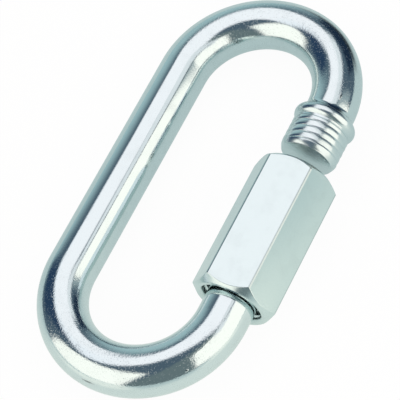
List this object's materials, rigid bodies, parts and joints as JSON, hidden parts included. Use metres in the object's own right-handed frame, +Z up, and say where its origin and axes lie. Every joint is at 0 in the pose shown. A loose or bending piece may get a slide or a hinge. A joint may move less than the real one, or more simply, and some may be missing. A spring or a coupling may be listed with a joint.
{
  "type": "chain quick link",
  "caption": "Oval link of bent round steel rod, open at one side, with a hexagonal sleeve nut that screws along to close the mouth; joins the ends of a chain.",
  "frame": {"origin": "on the surface it lies on, under the middle of the overall box", "axes": "+Y along the link towards the exposed threaded end, +X across it towards the sleeve nut, +Z up"},
  "size_m": [0.0372, 0.073, 0.0122],
  "materials": {
    "zinc_plated_rod": "bright zinc plating over drawn rod",
    "zinc_plated_nut": "bright zinc plating over milled hexagon bar"
  },
  "bodies": {
    "link_body": {"link_body": "zinc_plated_rod"},
    "sleeve_nut": {"sleeve_nut": "zinc_plated_nut"}
  },
  "joints": [
    {"name": "sleeve_travel", "type": "slide", "parent": "link_body", "child": "sleeve_nut", "axis": [0, 1, 0], "range_m": [-0.0067, 0.0084]}
  ]
}
